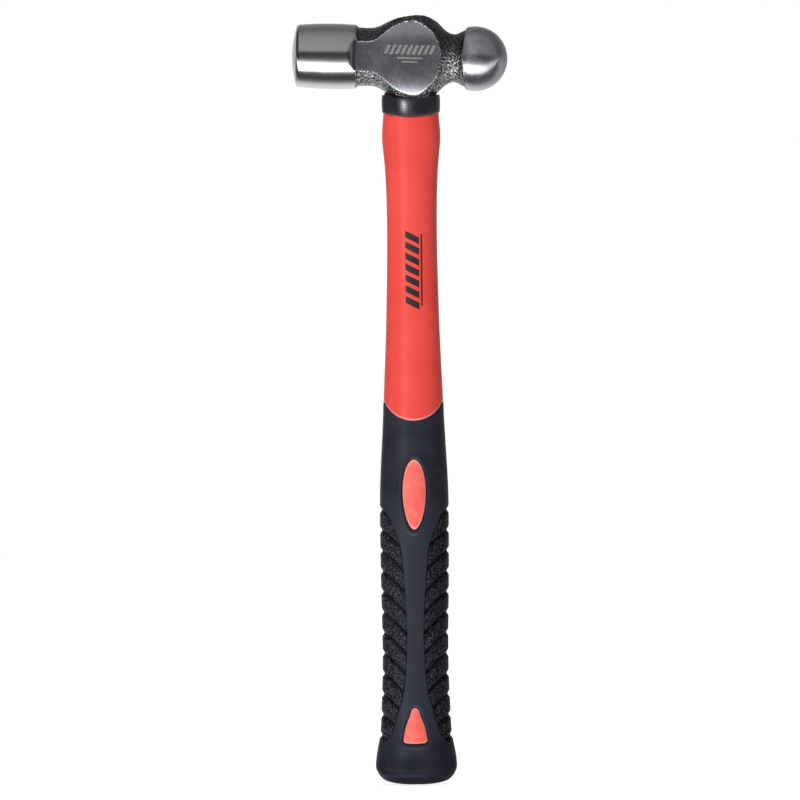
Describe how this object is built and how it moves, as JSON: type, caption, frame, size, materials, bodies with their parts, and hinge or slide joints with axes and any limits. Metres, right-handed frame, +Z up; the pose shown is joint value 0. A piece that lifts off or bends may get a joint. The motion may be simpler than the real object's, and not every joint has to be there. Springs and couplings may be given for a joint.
{
  "type": "ball peen hammer",
  "caption": "Small ball peen hammer with a forged steel head, a red fibreglass-cored shaft and a black ribbed soft grip with a flared butt.",
  "frame": {"origin": "centre of the butt's flat underside, on the handle's axis", "axes": "+Z up the handle to the head, -X out of the striking face, +X out of the ball, -Y out of the front cheek"},
  "size_m": [0.0812, 0.0254, 0.29],
  "materials": {
    "forged_steel": "ground and polished poll, cheeks and ball; rough forging between them",
    "glass_fibre": "sawn pultruded rod",
    "red_plastic": "satin moulded",
    "black_epoxy": "poured, slightly glossy",
    "collar_rubber": "satin moulded",
    "grip_rubber": "satin strip and butt, stippled ribs"
  },
  "bodies": {
    "root": {"hammer_head": "forged_steel", "fibreglass_core": "glass_fibre", "handle_jacket": "red_plastic", "eye_resin": "black_epoxy", "neck_collar": "collar_rubber", "grip_sleeve": "grip_rubber"}
  },
  "joints": []
}
